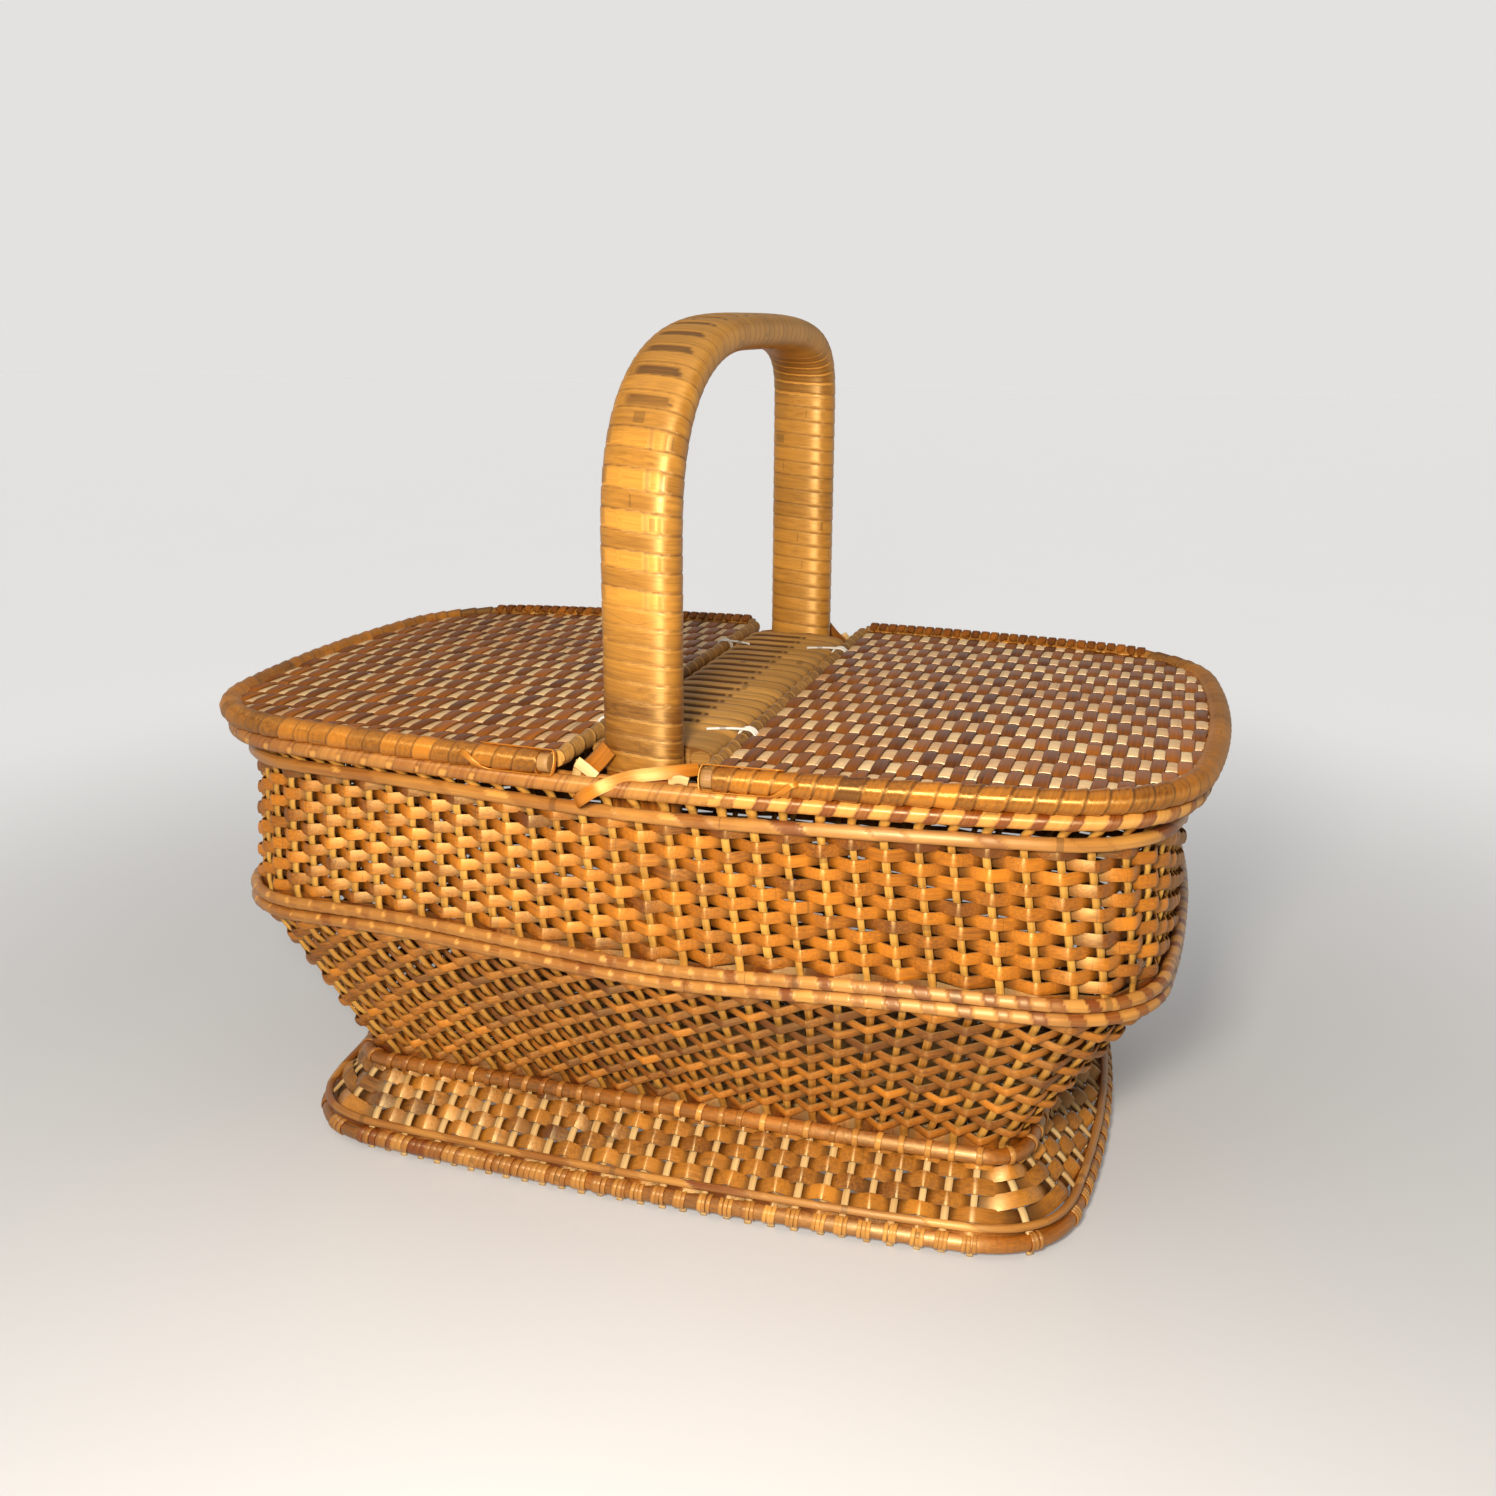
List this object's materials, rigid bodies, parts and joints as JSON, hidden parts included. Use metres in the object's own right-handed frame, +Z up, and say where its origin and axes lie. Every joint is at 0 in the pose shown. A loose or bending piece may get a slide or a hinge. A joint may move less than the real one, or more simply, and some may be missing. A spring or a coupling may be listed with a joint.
{
  "type": "picnic basket",
  "caption": "Woven cane picnic basket on a flared foot, with a fixed wrapped arch handle over a crossbar and a hinged woven lid on each side of it.",
  "frame": {"origin": "on the ground, under the middle of the basket", "axes": "+X along the length towards the right lid, +Y from front to back, +Z up"},
  "size_m": [0.427, 0.2764, 0.355],
  "materials": {
    "amber_cane": "glossy varnished amber cane",
    "pale_cane": "semi-gloss straw cane",
    "dark_cane": "satin brown cane over pale strips",
    "olive_cane": "satin olive brown cane",
    "string": "plain white cotton string"
  },
  "bodies": {
    "basket": {"foot_skirt": "pale_cane", "foot_hoop_outer": "amber_cane", "foot_hoop_inner": "amber_cane", "foot_band": "amber_cane", "waist_hoop": "amber_cane", "floor_panel": "pale_cane", "lower_wall": "amber_cane", "belt_rod_lower": "amber_cane", "belt_rod_upper": "amber_cane", "upper_wall": "amber_cane", "top_rail": "amber_cane", "rim_hoop": "amber_cane", "rim_liner": "amber_cane", "handle_bow": "amber_cane", "handle_wrap": "amber_cane", "crossbar_board": "olive_cane", "crossbar_wrap": "olive_cane", "lashing_front": "amber_cane", "lashing_back": "amber_cane", "tie_left_front": "string", "tie_left_back": "string", "tie_right_front": "string", "tie_right_back": "string"},
    "lid_left": {"lid_hoop_left": "amber_cane", "lid_hoop_wrap_left": "amber_cane", "hinge_rod_left": "olive_cane", "lid_panel_left": "dark_cane"},
    "lid_right": {"lid_hoop_right": "amber_cane", "lid_hoop_wrap_right": "amber_cane", "hinge_rod_right": "olive_cane", "lid_panel_right": "dark_cane"}
  },
  "joints": [
    {"name": "lid_left_hinge", "type": "hinge", "parent": "basket", "child": "lid_left", "pos_m": [-0.0298, 0, 0.1929], "axis": [0, 1, 0], "range_deg": [0, 93]},
    {"name": "lid_right_hinge", "type": "hinge", "parent": "basket", "child": "lid_right", "pos_m": [0.0298, 0, 0.1929], "axis": [0, -1, 0], "range_deg": [0, 93]}
  ]
}
